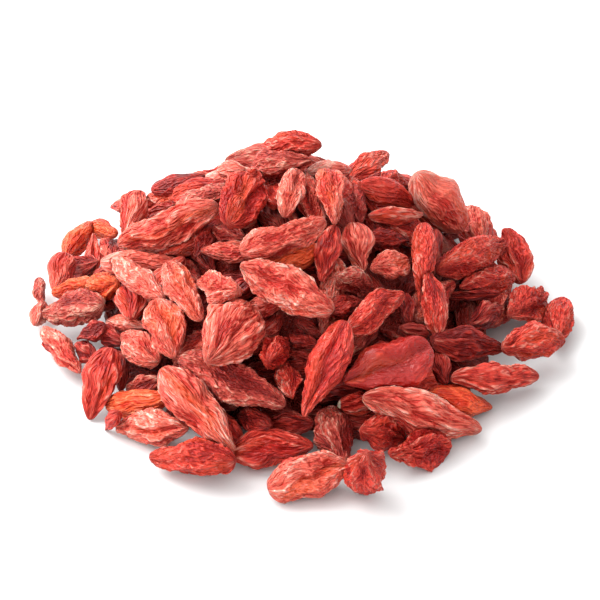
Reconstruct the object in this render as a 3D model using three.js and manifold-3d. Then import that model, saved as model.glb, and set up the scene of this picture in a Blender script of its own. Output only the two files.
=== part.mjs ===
// A heap of dried goji berries, lying loose on a flat surface.
// Millimetres, +Z up. The origin is under the middle of the heap, on the surface.
import * as THREE from "three";
import { mergeVertices } from "three/addons/utils/BufferGeometryUtils.js";
import Module from "manifold-3d";

const wasm = await Module();
wasm.setup();

// The heap: a low rounded cone. Its skin is the surface that the middles of the outer berries lie on.
const HEAP_MIDDLE = new THREE.Vector2(-1.17, 5.68);
const HEAP_RADIUS = 43;
const HEAP_RISE = 27.5;
const HEAP_ROUNDNESS = 1.4;
const SKIN_AT_RIM = 3;

// The solid core that the berries of the bed are rooted in lies this far below the skin.
const CORE_DEPTH = 4.4;
const CORE_RADIUS = 38.5;
const CORE_FOOT = 1;
const CORE_SIDES = 28;
const CORE_STEPS = 6;

// The view in which the places of the berries on the face of the heap were read.
const VIEW_SIZE = 600;
const VIEW_ELEVATION = THREE.MathUtils.degToRad(36);
const VIEW_DISTANCE = 430;
const VIEW_AIM = new THREE.Vector3(-0.17, -1.32, 9.1);
const PIXELS_PER_MM = 5.75;
const RIM_REACH = 7;
const SKIMS_HEAP = 4.5;
const NEAR_ENOUGH = 1;
const TYPICAL_WIDTH = 6;

// Berries: the shortest and the longest, as shares of their width, and the longest in millimetres.
const SHORTEST = 1.85;
const LONGEST = 3.3;
const LONGEST_MM = 22;

// Berries of the far side, each over a place of a sunflower spiral that the others leave free.
const GOLDEN_ANGLE = Math.PI * (3 - Math.sqrt(5));
const SPIRAL_RADIUS = 40.5;
const FAR_PLACES = 420;
const FAR_DEPTH = 1;
const FAR_WIDTH = [5.4, 7.6];
const FAR_LENGTH = [1.9, 2.9];
const FAR_SPACING = 0.37;
const HEADINGS = 6;

// Berries of the second layer, which fill the holes between the outer ones.
const SECOND_PLACES = 520;
const SECOND_DEPTH = 3.6;
const SECOND_WIDTH = [4.8, 6.4];
const SECOND_LENGTH = [2.0, 2.7];
const COVERED_BY_OUTER = 4.3;
const COVERED_BY_SECOND = 4.9;

// Settling: berries push each other apart, as strings of balls along their axes.
const STATIONS = [0.12, 0.31, 0.5, 0.69, 0.88];
const SETTLE_ROUNDS = 120;
const SETTLE_SHARE = 0.2;
const BALL_SHARE = 0.9;
const PULL_ACROSS = 0.12;
const PULL_ALONG = 0.012;

// Holding: how deep the balls of a berry reach into those of the berry that holds it.
const HOLD_STEP = 0.25;
const HOLD_STEPS = 40;
const ROOTED_BY = 0.7;
const LEANS_BY = 0.3;

// The largest berries of the face are solids of their own. The others are rooted in the bed.
const LOOSE_BERRIES = 58;
const CLEARANCE = 0.3;
const BED_TOLERANCE = 0.2;
const LOOSE_SIDES = 8;
const LOOSE_ROWS = 6;
const FACE_BED_SIDES = 6;
const FACE_BED_ROWS = 5;
const OTHER_BED_SIDES = 5;
const OTHER_BED_ROWS = 4;

// Skin colours: red, dusty pink, dark, translucent orange and dull brown.
const TONES = { r: 0xb8352c, p: 0xc9655a, d: 0x7a2320, o: 0xc8482a, b: 0x94483e };

// Berries on the face of the heap: [stem end x, y, tip x, y, width] in the view's pixels, then how many
// millimetres the berry lies in front of the skin, and its tone.
const FACE = [
  // Left edge, from the table up
  [37, 277, 38, 304, 15, 1, "b"], [49, 279, 50, 304, 14, -2, "d"], [29, 328, 38, 304, 20, 0, "p"],
  [42, 331, 79, 376, 24, 0.5, "p"], [42, 345, 60, 353, 12, 0, "r"], [42, 318, 102, 309, 38, 0, "b"],
  [53, 293, 93, 281, 23, 1, "o"], [68, 255, 55, 293, 27, 1, "p"], [84, 223, 59, 258, 24, 0, "o"],
  [66, 270, 98, 262, 24, -3, "d"], [90, 234, 86, 277, 16, -1, "p"], [116, 228, 84, 220, 20, -1, "o"],
  [104, 324, 74, 338, 19, 1, "d"], [96, 330, 122, 341, 22, -1, "d"], [74, 353, 97, 372, 22, -1, "d"],
  [114, 350, 94, 422, 37, 0, "r"], [122, 352, 119, 392, 15, -1, "d"],
  // Back left
  [102, 206, 128, 203, 19, -1, "r"], [138, 190, 122, 236, 30, 1, "p"], [146, 197, 176, 196, 14, -1, "p"],
  [150, 189, 204, 174, 21, 0, "d"], [171, 198, 224, 180, 24, 1, "r"], [217, 207, 118, 246, 42, 3, "p"],
  [217, 169, 245, 168, 15, -1, "p"], [258, 171, 229, 224, 44, 2.5, "r"], [212, 229, 245, 238, 22, -1, "b"],
  [215, 225, 194, 257, 18, -3, "d"],
  // Left middle
  [121, 280, 90, 292, 32, 1, "o"], [132, 277, 131, 319, 31, 0, "r"], [99, 262, 200, 266, 24, 0.5, "p"],
  [112, 264, 163, 303, 27, 1.5, "p"], [165, 263, 199, 321, 33, 2, "p"], [185, 279, 200, 300, 15, -1, "p"],
  [237, 291, 199, 284, 38, 1, "p"], [255, 281, 224, 302, 21, -1, "d"], [200, 250, 252, 252, 21, 0, "p"],
  [208, 319, 240, 306, 20, -2, "d"], [105, 323, 146, 326, 17, -1, "p"], [120, 336, 158, 362, 33, 1, "p"],
  [155, 301, 174, 360, 38, 1.5, "p"], [250, 312, 207, 364, 52, 2, "o"],
  // Front left
  [126, 391, 162, 380, 22, -1, "b"], [103, 408, 170, 400, 29, 0, "o"], [118, 414, 108, 436, 14, -1, "r"],
  [117, 429, 187, 425, 34, 0.5, "p"], [160, 371, 231, 454, 41, 2.5, "p"], [154, 463, 233, 462, 44, 0, "r"],
  [178, 357, 286, 406, 45, 3.5, "b"],
  // Front
  [233, 460, 316, 450, 36, 0, "r"], [262, 424, 314, 423, 24, -1, "d"], [276, 501, 346, 480, 44, 0, "p"],
  [328, 409, 343, 467, 40, 0, "b"], [368, 456, 363, 502, 42, 0, "r"], [404, 438, 361, 428, 34, 0, "r"],
  [444, 451, 388, 458, 38, 0, "r"], [360, 397, 480, 430, 42, 2.5, "p"], [337, 407, 381, 402, 23, 0, "r"],
  // Centre
  [345, 322, 304, 417, 37, 3, "r"], [345, 329, 403, 291, 36, 3, "r"], [430, 348, 344, 384, 50, 2, "r"],
  [285, 342, 267, 363, 32, 0, "r"], [283, 361, 292, 398, 29, 0, "r"], [288, 336, 318, 346, 20, -2, "d"],
  [241, 264, 333, 312, 46, 3, "p"], [246, 308, 286, 303, 23, 0, "p"], [330, 312, 366, 303, 24, 0, "d"],
  [318, 246, 263, 267, 32, 0.5, "o"], [334, 226, 322, 283, 24, 1.5, "r"], [353, 224, 364, 273, 28, 1, "p"],
  [336, 275, 372, 287, 29, 0, "b"], [408, 261, 369, 269, 27, 1.5, "p"], [398, 328, 430, 335, 18, 0, "b"],
  [406, 293, 410, 324, 18, -1, "d"], [424, 222, 420, 302, 27, 2.5, "r"], [427, 269, 439, 335, 28, 3, "r"],
  // Top
  [261, 150, 320, 147, 36, 0, "r"], [251, 170, 313, 160, 36, 2, "b"], [298, 169, 284, 216, 29, 1, "p"],
  [240, 252, 326, 220, 38, 3.5, "p"], [331, 172, 335, 224, 34, 1.5, "p"], [308, 171, 352, 168, 18, -1, "p"],
  [348, 175, 386, 147, 27, 1, "r"], [371, 177, 408, 184, 26, 0, "b"], [382, 183, 395, 172, 20, -1, "r"],
  [359, 185, 417, 203, 24, 1, "r"], [424, 214, 369, 216, 20, 1.5, "r"], [356, 184, 360, 224, 20, -2, "d"],
  [368, 239, 411, 240, 24, 0, "d"],
  // Back right
  [421, 173, 466, 230, 48, 2, "p"], [472, 207, 483, 247, 31, 1, "p"], [440, 176, 475, 190, 22, -1, "d"],
  [414, 205, 447, 226, 16, 0, "r"], [436, 229, 434, 276, 17, -2, "d"], [505, 242, 438, 270, 38, 2, "r"],
  [506, 228, 523, 283, 35, 0, "r"], [514, 274, 461, 287, 27, 1, "r"], [443, 296, 500, 292, 14, -2, "d"],
  // Right edge
  [545, 295, 511, 316, 43, 0, "r"], [560, 299, 556, 346, 32, 0, "r"], [501, 347, 565, 340, 39, 1, "r"],
  [503, 308, 470, 325, 26, 0, "d"], [432, 341, 508, 350, 32, 0, "d"], [450, 380, 539, 375, 32, 0, "r"],
  [428, 392, 492, 405, 33, 0, "o"], [436, 356, 448, 388, 22, -1, "d"],
  // In the shade between the others
  [84, 301, 113, 306, 20, -2, "d"], [94, 284, 112, 266, 20, -3, "d"], [240, 414, 272, 426, 24, -2, "d"],
];

// A stream of repeatable random numbers from 0 to 1.
function draws(seed) {
  const MODULUS = 2147483647;
  const STEP = 16807;
  let state = (seed * 7919 + 104729) % MODULUS;
  const next = () => {
    state = (state * STEP) % MODULUS;
    return state / MODULUS;
  };
  next();
  next();
  return next;
}

const between = (draw, [low, high]) => low + (high - low) * draw();

const distanceOut = (point) => Math.hypot(point.x - HEAP_MIDDLE.x, point.y - HEAP_MIDDLE.y);

// Height of the heap's skin over a point of the table.
function skinHeight(x, y) {
  const share = Math.min(1, distanceOut({ x, y }) / HEAP_RADIUS);
  return SKIN_AT_RIM + HEAP_RISE * (1 - share ** HEAP_ROUNDNESS);
}

// The skin's outward normal, from its slope.
function skinNormal(x, y) {
  const STEP = 0.5;
  const dx = skinHeight(x + STEP, y) - skinHeight(x - STEP, y);
  const dy = skinHeight(x, y + STEP) - skinHeight(x, y - STEP);
  return new THREE.Vector3(-dx, -dy, 2 * STEP).normalize();
}

// The view: it looks along +Y and down, with +X to the right.
const viewForward = new THREE.Vector3(0, Math.cos(VIEW_ELEVATION), -Math.sin(VIEW_ELEVATION));
const viewUp = new THREE.Vector3(0, Math.sin(VIEW_ELEVATION), Math.cos(VIEW_ELEVATION));
const viewRight = new THREE.Vector3(1, 0, 0);
const viewEye = VIEW_AIM.clone().addScaledVector(viewForward, -VIEW_DISTANCE);
const viewFocal = PIXELS_PER_MM * VIEW_DISTANCE;

// The point seen at a pixel, at a depth measured along the view's axis.
function seenAt(u, v, depth) {
  const across = ((u - VIEW_SIZE / 2) / viewFocal) * depth;
  const up = ((VIEW_SIZE / 2 - v) / viewFocal) * depth;
  return viewEye
    .clone()
    .addScaledVector(viewForward, depth)
    .addScaledVector(viewRight, across)
    .addScaledVector(viewUp, up);
}

// Depth at which a pixel's ray meets the skin, or the layer of berries on the table close round the heap.
// A ray that passes over the heap takes the first depth at which it comes almost as near to the skin as it gets.
function skinDepth(u, v) {
  const REACH = 75;
  const STEP = 0.25;
  const overHeap = [];
  const overRim = [];
  for (let depth = VIEW_DISTANCE - REACH; depth < VIEW_DISTANCE + REACH; depth += STEP) {
    const point = seenAt(u, v, depth);
    const out = distanceOut(point);
    const place = { depth, gap: point.z - skinHeight(point.x, point.y) };
    if (out < HEAP_RADIUS) overHeap.push(place);
    if (out < HEAP_RADIUS + RIM_REACH) overRim.push(place);
  }
  const leastGap = (places) => Math.min(...places.map(({ gap }) => gap));
  const places = leastGap(overHeap) < SKIMS_HEAP ? overHeap : overRim;
  const least = Math.max(-NEAR_ENOUGH, leastGap(places));
  return places.find(({ gap }) => gap <= least + NEAR_ENOUGH).depth;
}

// A berry of the face, from its row: its ends lie where the view shows them, on the skin or in front of it.
function faceBerry([stemU, stemV, tipU, tipV, pixels, lift, tone], index) {
  const width = (pixels * VIEW_DISTANCE) / viewFocal;
  const sunk = Math.max(0, TYPICAL_WIDTH - width) / 2;
  const middle = (skinDepth(stemU, stemV) + skinDepth(tipU, tipV)) / 2 - lift + sunk;
  const lean = skinDepth(tipU, tipV) - skinDepth(stemU, stemV);
  const seen = (Math.hypot(tipU - stemU, tipV - stemV) * middle) / viewFocal;
  const longest = Math.max(seen, Math.min(LONGEST * width, LONGEST_MM));
  const length = THREE.MathUtils.clamp(Math.hypot(seen, lean), SHORTEST * width, longest);
  const depth = Math.sqrt(Math.max(0, length ** 2 - seen ** 2)) * (lean < 0 ? -1 : 1);
  return {
    stem: seenAt(stemU, stemV, middle - depth / 2),
    tip: seenAt(tipU, tipV, middle + depth / 2),
    facing: viewForward.clone().negate(),
    width,
    tone,
    seed: index + 1,
    onFace: true,
    isLoose: false,
  };
}

const middleOf = (berry) => berry.stem.clone().lerp(berry.tip, 0.5);

// The least distance from a point to a berry's axis.
function distanceToAxis(point, berry) {
  return new THREE.Line3(berry.stem, berry.tip).closestPointToPoint(point, true, new THREE.Vector3()).distanceTo(point);
}

// A place of a sunflower spiral over the heap, at a depth below the skin.
function spiralPlace(place, places, depth) {
  const radius = SPIRAL_RADIUS * Math.sqrt((place + 0.5) / places);
  const angle = place * GOLDEN_ANGLE;
  const x = HEAP_MIDDLE.x + radius * Math.cos(angle);
  const y = HEAP_MIDDLE.y + radius * Math.sin(angle);
  const facing = skinNormal(x, y);
  const middle = new THREE.Vector3(x, y, skinHeight(x, y)).addScaledVector(facing, -depth);
  return { middle, facing };
}

// A berry lying along the skin over a place of the spiral, in whichever direction has the most room.
function spiralBerry({ middle, facing }, seed, widths, lengths, others) {
  const draw = draws(seed);
  const width = between(draw, widths);
  const length = width * between(draw, lengths);
  const tilt = between(draw, [-0.25, 0.25]);
  const first = 2 * Math.PI * draw();
  const tone = "rrrppbrd"[Math.floor(8 * draw())];
  let best = null;
  let mostRoom = -Infinity;
  for (let turn = 0; turn < HEADINGS; turn++) {
    const heading = first + (Math.PI * turn) / HEADINGS;
    const along = new THREE.Vector3(Math.cos(heading), Math.sin(heading), 0).projectOnPlane(facing).normalize();
    along.addScaledVector(facing, tilt).normalize();
    const stem = middle.clone().addScaledVector(along, -length / 2);
    const tip = middle.clone().addScaledVector(along, length / 2);
    const room = Math.min(
      ...others.flatMap((other) =>
        [0.15, 0.5, 0.85].map(
          (share) => distanceToAxis(stem.clone().lerp(tip, share), other) / (width + other.width),
        ),
      ),
    );
    if (room > mostRoom) {
      mostRoom = room;
      best = { stem, tip };
    }
  }
  return { ...best, facing, width, tone, seed, room: mostRoom, onFace: false, isLoose: false };
}

// Fullness along a berry, from 0 at the stem end to 1 at the tip: blunt at the stem, tapered at the tip.
const GIRTH_SKEW = 0.85;
const GIRTH_POWER = 0.52;
const girth = (share) => Math.sin(Math.PI * THREE.MathUtils.clamp(share, 0, 1) ** GIRTH_SKEW) ** GIRTH_POWER;

// Gives a berry the string of balls that stands for it while it settles.
function ready(berry) {
  berry.length = berry.stem.distanceTo(berry.tip);
  berry.home = [berry.stem.clone(), berry.tip.clone()];
  berry.balls = STATIONS.map((share) => ({ share, radius: (BALL_SHARE * berry.width * girth(share)) / 2 }));
  liftOffTable(berry);
  return berry;
}

function placeBalls(berry) {
  for (const ball of berry.balls) ball.at = berry.stem.clone().lerp(berry.tip, ball.share);
}

// Pushes overlapping berries apart. A berry of the face keeps its place in the view and gives way in depth.
function settle(berries) {
  const pairs = [];
  berries.forEach((one, i) => {
    for (const two of berries.slice(i + 1)) {
      const reach = (one.length + two.length) / 2 + 2;
      if (middleOf(one).distanceTo(middleOf(two)) < reach) pairs.push([one, two]);
    }
  });
  for (let round = 0; round < SETTLE_ROUNDS; round++) {
    for (const berry of berries) {
      berry.pushes = [new THREE.Vector3(), new THREE.Vector3()];
      placeBalls(berry);
    }
    for (const [one, two] of pairs) pushApart(one, two);
    for (const berry of berries) move(berry);
  }
}

function pushApart(one, two) {
  for (const a of one.balls) {
    for (const b of two.balls) {
      const away = a.at.clone().sub(b.at);
      const distance = away.length();
      const overlap = a.radius + b.radius - distance;
      if (overlap <= 0 || distance === 0) continue;
      away.multiplyScalar((SETTLE_SHARE * overlap) / distance);
      one.pushes[0].addScaledVector(away, 1 - a.share);
      one.pushes[1].addScaledVector(away, a.share);
      two.pushes[0].addScaledVector(away, b.share - 1);
      two.pushes[1].addScaledVector(away, -b.share);
    }
  }
}

function move(berry) {
  const ends = [berry.stem, berry.tip];
  ends.forEach((end, i) => {
    const back = berry.home[i].clone().sub(end);
    const along = berry.facing.clone().multiplyScalar(back.dot(berry.facing));
    end.add(berry.pushes[i]);
    end.addScaledVector(back.sub(along), PULL_ACROSS).addScaledVector(along, PULL_ALONG);
  });
  const middle = middleOf(berry);
  const half = berry.tip.clone().sub(berry.stem).setLength(berry.length / 2);
  berry.stem.copy(middle).sub(half);
  berry.tip.copy(middle).add(half);
  liftOffTable(berry);
}

function liftOffTable(berry) {
  for (const ball of berry.balls) {
    const sunk = ball.radius - THREE.MathUtils.lerp(berry.stem.z, berry.tip.z, ball.share);
    if (sunk <= 0) continue;
    berry.stem.z += sunk * (1 - ball.share);
    berry.tip.z += sunk * ball.share;
  }
}

// Height of the core over a point of the table.
function coreHeight(point) {
  if (distanceOut(point) > CORE_RADIUS) return 0;
  return Math.max(CORE_FOOT, skinHeight(point.x, point.y) - CORE_DEPTH);
}

// Whether a berry reaches this deep into the core or into one of the other berries.
function reaches(berry, others, depth) {
  return berry.balls.some(
    (ball) =>
      ball.at.z - ball.radius < coreHeight(ball.at) - depth ||
      others.some(
        (other) =>
          other !== berry &&
          other.balls.some((near) => near.at.distanceTo(ball.at) < near.radius + ball.radius - depth),
      ),
  );
}

// Moves a berry one way, in small steps, until it reaches what is to hold it.
function moveUntilHeld(berry, way, others, depth) {
  for (let step = 0; step < HOLD_STEPS && !reaches(berry, others, depth); step++) {
    berry.stem.addScaledVector(way, HOLD_STEP);
    berry.tip.addScaledVector(way, HOLD_STEP);
    liftOffTable(berry);
    placeBalls(berry);
  }
}

// The shortest way from a berry to the others, along the table if the berry lies on it.
function wayTo(berry, others) {
  let least = Infinity;
  let way = new THREE.Vector3();
  for (const ball of berry.balls) {
    for (const near of others.flatMap((other) => other.balls)) {
      const gap = near.at.distanceTo(ball.at) - near.radius - ball.radius;
      if (gap >= least) continue;
      least = gap;
      way = near.at.clone().sub(ball.at);
    }
  }
  const isOnTable = berry.balls.some((ball) => ball.at.z < ball.radius + 0.1);
  if (isOnTable) way.z = 0;
  return way.normalize();
}

// Roots every berry of the bed in the core or in a rooted berry. Then every loose one, from the middle of the
// heap outwards, moves the shortest way until it leans on another.
function hold(berries) {
  berries.forEach(placeBalls);
  const overCore = (berry) => Math.min(...berry.balls.map((ball) => ball.at.z - ball.radius - coreHeight(ball.at)));
  const held = [];
  for (const berry of berries.filter((one) => !one.isLoose).sort((a, b) => overCore(a) - overCore(b))) {
    moveUntilHeld(berry, berry.facing.clone().negate(), held, ROOTED_BY);
    held.push(berry);
  }
  const out = (berry) => distanceOut(middleOf(berry));
  for (const berry of berries.filter((one) => one.isLoose).sort((a, b) => out(a) - out(b))) {
    moveUntilHeld(berry, wayTo(berry, held), held, LEANS_BY);
    held.push(berry);
  }
}

// Picks the loose berries of the face: those that lie clear of the core's foot, then the largest.
function pickLoose(face) {
  const isClear = (berry) => distanceOut(middleOf(berry)) > CORE_RADIUS - 1;
  const size = (berry) => berry.width * berry.stem.distanceTo(berry.tip);
  const ranked = [...face].sort((a, b) => isClear(b) - isClear(a) || size(b) - size(a));
  for (const berry of ranked.slice(0, LOOSE_BERRIES)) berry.isLoose = true;
}

// The shape of one berry: a ball drawn out along its axis, flattened, lobed where it has shrunk, and bent.
// A little girth makes up for what its flat faces cut off.
function berryGeometry(berry, sides, rows, grown) {
  const makeUp = 1 / Math.cos(Math.PI / sides) ** 0.6;
  const draw = draws(berry.seed);
  const flatness = between(draw, [0.74, 0.94]);
  const roll = between(draw, [-0.5, 0.5]);
  const bend = between(draw, [-0.045, 0.045]) * berry.length;
  const twoLobes = between(draw, [0.02, 0.1]);
  const threeLobes = between(draw, [0.02, 0.1]);
  const twoPhase = between(draw, [0, 2 * Math.PI]);
  const threePhase = between(draw, [0, 2 * Math.PI]);
  const twist = between(draw, [-1, 1]);

  const along = berry.tip.clone().sub(berry.stem).normalize();
  const up = berry.facing.clone().projectOnPlane(along).normalize().applyAxisAngle(along, roll);
  const side = up.clone().cross(along);
  const geometry = new THREE.SphereGeometry(1, sides, rows);
  const position = geometry.getAttribute("position");
  const p = new THREE.Vector3();
  for (let i = 0; i < position.count; i++) {
    p.fromBufferAttribute(position, i);
    const share = THREE.MathUtils.clamp((1 - p.y) / 2, 0, 1);
    const around = Math.atan2(p.z, p.x);
    const isPole = Math.hypot(p.x, p.z) < 1e-6;
    const lobes =
      1 +
      twoLobes * Math.cos(2 * around + twoPhase + twist * share) +
      threeLobes * Math.cos(3 * around + threePhase + twist * share);
    const radius = isPole ? 0 : (berry.width / 2) * girth(share) * lobes * makeUp + grown;
    const lengthwise = (share - 0.5) * (berry.length + 2 * grown);
    const bow = bend * (4 * share * (1 - share) - 0.6);
    const point = middleOf(berry)
      .addScaledVector(along, lengthwise)
      .addScaledVector(side, Math.cos(around) * radius)
      .addScaledVector(up, Math.sin(around) * radius * flatness + bow);
    position.setXYZ(i, point.x, point.y, point.z);
  }
  return geometry;
}

// The core of the bed: a cone like the skin, lower, with a flat base on the table.
function coreGeometry() {
  const profile = [new THREE.Vector2(0, 0), new THREE.Vector2(CORE_RADIUS, 0)];
  for (let step = CORE_STEPS; step >= 0; step--) {
    const radius = (CORE_RADIUS * step) / CORE_STEPS;
    const height = skinHeight(HEAP_MIDDLE.x + radius, HEAP_MIDDLE.y) - CORE_DEPTH;
    profile.push(new THREE.Vector2(radius, Math.max(CORE_FOOT, height)));
  }
  const geometry = new THREE.LatheGeometry(profile, CORE_SIDES).rotateX(Math.PI / 2);
  return geometry.translate(HEAP_MIDDLE.x, HEAP_MIDDLE.y, 0);
}

function solidOf(geometry) {
  geometry.deleteAttribute("normal");
  geometry.deleteAttribute("uv");
  const merged = mergeVertices(geometry, 1e-4);
  return new wasm.Manifold(
    new wasm.Mesh({
      numProp: 3,
      vertProperties: new Float32Array(merged.getAttribute("position").array),
      triVerts: new Uint32Array(merged.index.array),
    }),
  );
}

function geometryOf(solid) {
  const mesh = solid.getMesh();
  const geometry = new THREE.BufferGeometry();
  geometry.setAttribute("position", new THREE.BufferAttribute(mesh.vertProperties, 3));
  geometry.setIndex(new THREE.BufferAttribute(mesh.triVerts, 1));
  return geometry;
}

// Everything below the table, so that a berry lying on it has a small flat spot.
function belowTable() {
  const size = 4 * HEAP_RADIUS;
  return solidOf(new THREE.BoxGeometry(size, size, size).translate(0, 0, -size / 2));
}

// A cut can leave scraps: the largest body is the piece.
function largestBody(solid) {
  return solid.decompose().sort((a, b) => b.volume() - a.volume())[0];
}

function meshOf(name, solid, tone) {
  const material = new THREE.MeshStandardMaterial({ color: TONES[tone], roughness: 0.6, metalness: 0 });
  const mesh = new THREE.Mesh(geometryOf(solid), material);
  mesh.name = name;
  return mesh;
}

// Lays out every berry: the face, then the far side, then the second layer in the holes that are left.
function layOut() {
  const berries = FACE.map(faceBerry);
  pickLoose(berries);
  for (let place = 0; place < FAR_PLACES; place++) {
    const spot = spiralPlace(place, FAR_PLACES, FAR_DEPTH);
    const berry = spiralBerry(spot, 1000 + place, FAR_WIDTH, FAR_LENGTH, berries);
    if (berry.room > FAR_SPACING) berries.push(berry);
  }
  berries.forEach(ready);
  settle(berries);

  const outer = [...berries];
  const second = [];
  for (let place = 0; place < SECOND_PLACES; place++) {
    const spot = spiralPlace(place, SECOND_PLACES, SECOND_DEPTH);
    const isCovered =
      outer.some((other) => distanceToAxis(spot.middle, other) < COVERED_BY_OUTER) ||
      second.some((other) => distanceToAxis(spot.middle, other) < COVERED_BY_SECOND);
    if (isCovered) continue;
    second.push(ready(spiralBerry(spot, 3000 + place, SECOND_WIDTH, SECOND_LENGTH, [...outer, ...second])));
  }
  berries.push(...second);
  hold(berries);
  return berries;
}

function buildHeap() {
  const heap = new THREE.Group();
  const berries = layOut();
  const table = belowTable();
  const loose = berries.filter((berry) => berry.isLoose);
  const rooted = berries.filter((berry) => !berry.isLoose);

  // A loose berry that lies nearer the view is whole, and what it presses on is dented by it.
  const nearness = (berry) => middleOf(berry).dot(viewForward);
  loose.sort((a, b) => nearness(a) - nearness(b));
  const dents = [];
  loose.forEach((berry, i) => {
    let solid = solidOf(berryGeometry(berry, LOOSE_SIDES, LOOSE_ROWS, 0)).subtract(table);
    for (const dent of dents) solid = solid.subtract(dent);
    dents.push(solidOf(berryGeometry(berry, LOOSE_SIDES, LOOSE_ROWS, CLEARANCE)));
    const name = `berry_${String(i + 1).padStart(2, "0")}`;
    heap.add(meshOf(name, largestBody(solid), berry.tone));
  });

  let bed = solidOf(coreGeometry());
  for (const berry of rooted) {
    const [sides, rows] = berry.onFace ? [FACE_BED_SIDES, FACE_BED_ROWS] : [OTHER_BED_SIDES, OTHER_BED_ROWS];
    bed = bed.add(solidOf(berryGeometry(berry, sides, rows, 0)));
  }
  bed = bed.subtract(table);
  for (const dent of dents) bed = bed.subtract(dent);
  bed = bed.simplify(BED_TOLERANCE);
  heap.add(meshOf("bed", largestBody(bed), "r"));
  return heap;
}

export default buildHeap();
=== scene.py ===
# %% [markdown]
# # A heap of dried goji berries
#
# This lesson dresses a loose heap of dried goji berries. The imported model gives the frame: the largest
# berries are solids of their own, and the rest are one solid, the bed. All of them are plain spindles. Here
# every berry gets its shrivelled skin, and the heap the camera and light of the photograph.

import math

import bpy
import numpy as np
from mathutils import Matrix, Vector


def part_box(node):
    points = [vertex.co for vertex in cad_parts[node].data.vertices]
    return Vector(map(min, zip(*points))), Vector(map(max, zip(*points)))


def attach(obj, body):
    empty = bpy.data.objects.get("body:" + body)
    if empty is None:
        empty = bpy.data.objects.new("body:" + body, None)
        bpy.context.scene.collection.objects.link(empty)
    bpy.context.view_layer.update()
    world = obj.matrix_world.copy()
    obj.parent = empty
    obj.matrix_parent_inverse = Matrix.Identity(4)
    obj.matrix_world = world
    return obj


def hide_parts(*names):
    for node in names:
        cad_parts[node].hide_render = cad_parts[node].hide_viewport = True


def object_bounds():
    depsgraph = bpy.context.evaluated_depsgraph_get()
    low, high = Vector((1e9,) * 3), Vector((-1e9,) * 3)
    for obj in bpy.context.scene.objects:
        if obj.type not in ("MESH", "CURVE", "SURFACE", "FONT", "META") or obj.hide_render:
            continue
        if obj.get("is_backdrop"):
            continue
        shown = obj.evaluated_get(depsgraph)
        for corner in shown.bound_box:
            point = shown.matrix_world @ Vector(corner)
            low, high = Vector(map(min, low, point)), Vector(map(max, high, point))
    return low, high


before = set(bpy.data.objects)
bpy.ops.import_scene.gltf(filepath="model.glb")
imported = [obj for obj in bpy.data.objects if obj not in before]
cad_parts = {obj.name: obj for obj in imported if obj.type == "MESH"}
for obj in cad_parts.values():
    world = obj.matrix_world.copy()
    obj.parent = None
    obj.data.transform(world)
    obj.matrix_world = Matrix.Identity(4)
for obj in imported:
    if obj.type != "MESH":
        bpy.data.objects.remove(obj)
cad_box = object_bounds()
print("CAD nodes:", len(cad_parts))
print("CAD box:", [[round(x, 4) for x in corner] for corner in cad_box])

# %% [markdown]
# ## Where the berries lie
#
# A real heap is poured, and no rule gives back the way it fell. The berries that the photograph shows were
# therefore read from it one by one: where each berry starts and ends in the picture, how wide it is, and
# how far it stands out of the heap. A ray through each end then finds its place on the heap. The solids
# were laid out by the same rule, so the berries of this scene lie where the solids are.

# %% The sizes of the heap, in millimetres
HEAP_MIDDLE = np.array([-1.17, 5.68])
HEAP_RADIUS = 43
HEAP_RISE = 27.5
HEAP_ROUNDNESS = 1.4
SKIN_AT_RIM = 3
CORE_DEPTH = 4.4
CORE_RADIUS = 38.5
CORE_FOOT = 1
print("the skin spans", 2 * HEAP_RADIUS, "mm")

# %% The photograph's view
VIEW_SIZE = 600
VIEW_ELEVATION = math.radians(36)
VIEW_DISTANCE = 430
VIEW_AIM = np.array([-0.17, -1.32, 9.1])
PIXELS_PER_MM = 5.75

forward = np.array([0, math.cos(VIEW_ELEVATION), -math.sin(VIEW_ELEVATION)])
upward = np.array([0, math.sin(VIEW_ELEVATION), math.cos(VIEW_ELEVATION)])
rightward = np.array([1, 0, 0])
eye = VIEW_AIM - forward * VIEW_DISTANCE
focal_pixels = PIXELS_PER_MM * VIEW_DISTANCE
print("the camera stands at", np.round(eye, 1), "mm")

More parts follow.
